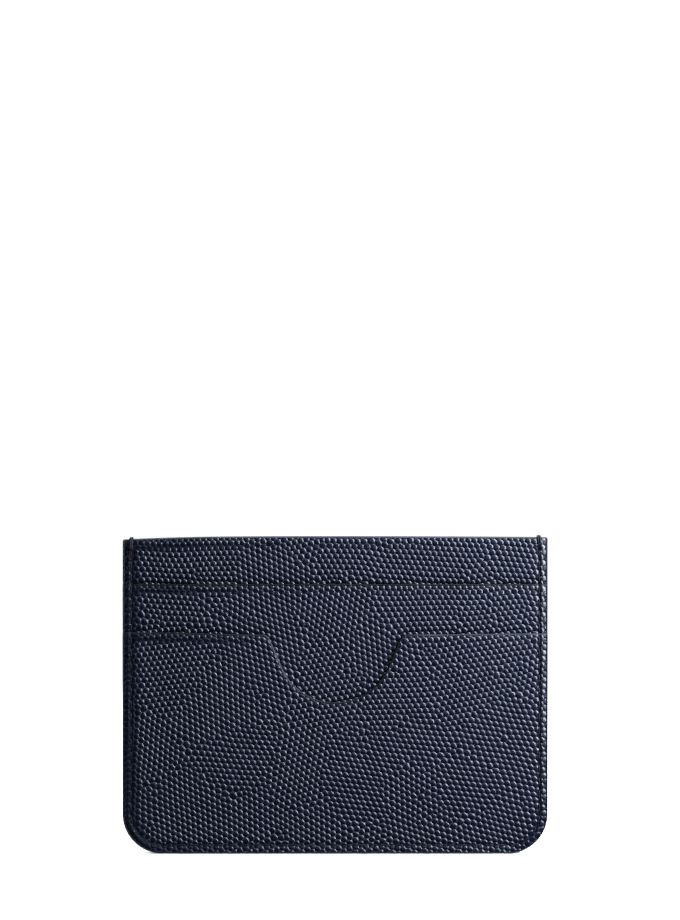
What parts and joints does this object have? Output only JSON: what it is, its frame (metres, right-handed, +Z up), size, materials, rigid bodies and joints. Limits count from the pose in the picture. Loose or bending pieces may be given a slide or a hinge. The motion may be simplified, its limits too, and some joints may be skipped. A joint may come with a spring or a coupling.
{
  "type": "card holder",
  "caption": "Slim leather card holder with stacked card slots on both faces, a thumb notch in each lower pocket, a centre pocket, sewn and painted edges.",
  "frame": {"origin": "middle of the bottom edge, in the middle of the thickness, where the holder stands", "axes": "+X along the width, -Y out of the front face, +Z up from the bottom edge to the pocket mouths"},
  "size_m": [0.1, 0.0052, 0.0748],
  "materials": {
    "leather": "pebbled navy leather, satin",
    "edge_paint": "near-black edge paint, satin",
    "thread": "twisted navy thread",
    "lining": "dark navy woven textile",
    "board": "bonded leather fibre board",
    "tape": "double-sided adhesive tape"
  },
  "bodies": {
    "root": {"front_body_panel": "leather", "front_stiffener": "board", "front_body_lining": "lining", "front_upper_pocket": "leather", "front_upper_lining": "lining", "front_lower_pocket": "leather", "front_lower_lining": "lining", "front_inner_tape": "tape", "front_outer_tape": "tape", "front_slot_stitches": "thread", "front_top_edge_paint": "edge_paint", "front_upper_edge_paint": "edge_paint", "front_lower_edge_paint": "edge_paint", "back_body_panel": "leather", "back_stiffener": "board", "back_body_lining": "lining", "back_upper_pocket": "leather", "back_upper_lining": "lining", "back_lower_pocket": "leather", "back_lower_lining": "lining", "back_inner_tape": "tape", "back_outer_tape": "tape", "back_slot_stitches": "thread", "back_top_edge_paint": "edge_paint", "back_upper_edge_paint": "edge_paint", "back_lower_edge_paint": "edge_paint", "centre_tape": "tape", "outer_edge_paint": "edge_paint", "needle_thread": "thread", "bobbin_thread": "thread", "left_bar_tack": "thread", "right_bar_tack": "thread"}
  },
  "joints": []
}
